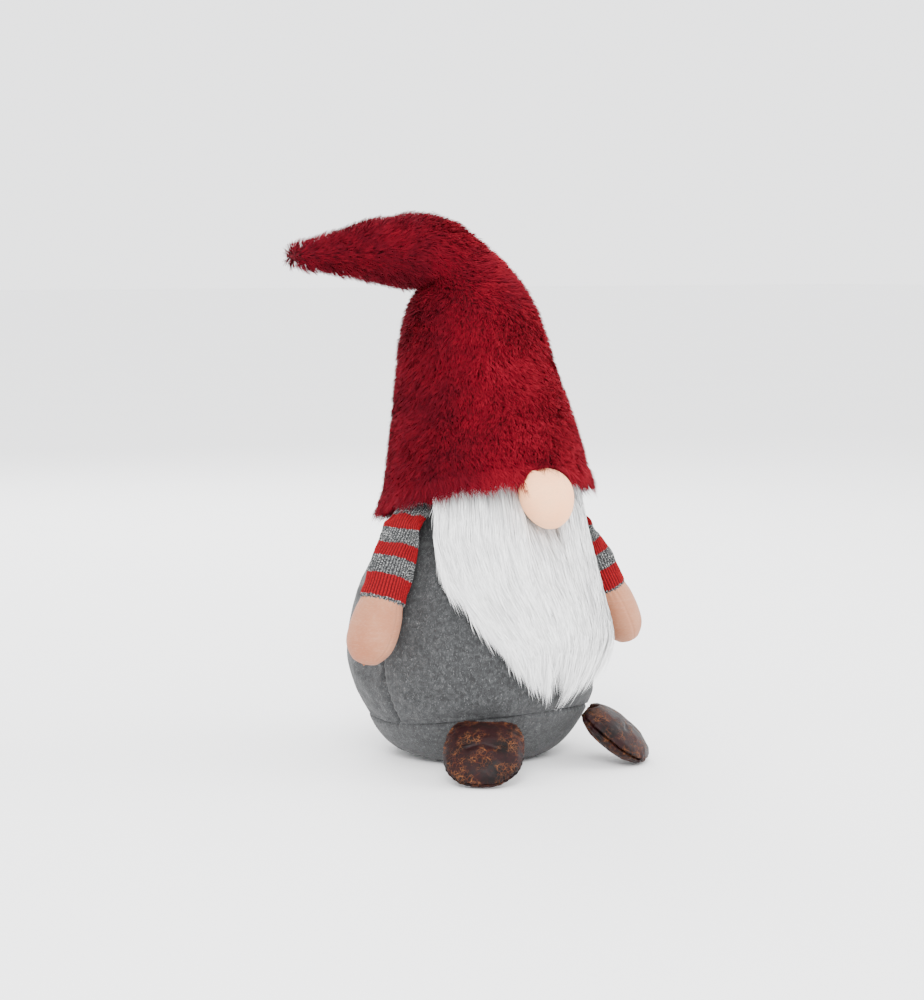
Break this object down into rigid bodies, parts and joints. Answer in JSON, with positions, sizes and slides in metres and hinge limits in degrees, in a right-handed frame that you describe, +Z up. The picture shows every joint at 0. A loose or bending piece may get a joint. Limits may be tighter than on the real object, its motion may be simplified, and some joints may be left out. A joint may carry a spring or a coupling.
{
  "type": "tomte gnome figurine",
  "caption": "Soft standing gnome with a weighted felt body, tall plush hat with a bent tip, long fur beard, stuffed nose, striped knit arms with mitten hands, and stuffed shoes.",
  "frame": {"origin": "centre of the flat part of the base, on the surface that the figure stands on", "axes": "+Z up; the figure faces -Y, so its own right hand is on the -X side"},
  "size_m": [0.2944, 0.2358, 0.4297],
  "materials": {
    "felt_grey": "matte",
    "plush_red": "matte",
    "beard_fur": "matte",
    "beard_cloth": "matte",
    "knit_striped": "matte",
    "jersey_peach": "matte",
    "leather_brown": "satin",
    "fibre_fill": "matte",
    "pouch_cloth": "matte",
    "pellets": "matte",
    "wire_coated": "satin"
  },
  "bodies": {
    "torso": {"body_front_panel": "felt_grey", "body_back_panel": "felt_grey", "base_panel": "felt_grey", "body_filling": "fibre_fill", "pellet_pouch": "pouch_cloth", "pellet_filling": "pellets", "hat_front_panel": "plush_red", "hat_back_panel": "plush_red", "hat_filling": "fibre_fill", "hat_wire_upright": "wire_coated", "nose_cover": "jersey_peach", "nose_filling": "fibre_fill", "beard_backing": "beard_cloth", "beard_pile": "beard_fur"},
    "hat_tip": {"hat_tip_front_panel": "plush_red", "hat_tip_back_panel": "plush_red", "hat_tip_filling": "fibre_fill", "hat_wire_tip": "wire_coated"},
    "right_arm": {"right_sleeve": "knit_striped", "right_hand": "jersey_peach", "right_arm_filling": "fibre_fill"},
    "left_arm": {"left_sleeve": "knit_striped", "left_hand": "jersey_peach", "left_arm_filling": "fibre_fill"},
    "right_shoe": {"right_shoe_upper": "leather_brown", "right_shoe_sole": "leather_brown", "right_shoe_filling": "fibre_fill"},
    "left_shoe": {"left_shoe_upper": "leather_brown", "left_shoe_sole": "leather_brown", "left_shoe_filling": "fibre_fill"}
  },
  "joints": [
    {"name": "hat_tip_bend", "type": "hinge", "parent": "torso", "child": "hat_tip", "pos_m": [-0.02162, 0.00784, 0.388], "axis": [0.341, 0.9401, 0], "range_deg": [-10, 35]},
    {"name": "right_arm_raise", "type": "hinge", "parent": "torso", "child": "right_arm", "pos_m": [-0.08477, -0.01957, 0.188], "axis": [-0.225, 0.9744, 0], "range_deg": [0, 64]},
    {"name": "left_arm_raise", "type": "hinge", "parent": "torso", "child": "left_arm", "pos_m": [0.08672, -0.02002, 0.181], "axis": [-0.225, -0.9744, 0], "range_deg": [0, 63]},
    {"name": "right_shoe_lift", "type": "hinge", "parent": "torso", "child": "right_shoe", "pos_m": [-0.0479, -0.07972, 0.0415], "axis": [-0.7431, 0.6691, 0], "range_deg": [0, 28]},
    {"name": "left_shoe_lift", "type": "hinge", "parent": "torso", "child": "left_shoe", "pos_m": [0.0479, -0.07972, 0.0415], "axis": [-0.7431, -0.6691, 0], "range_deg": [0, 28]}
  ]
}
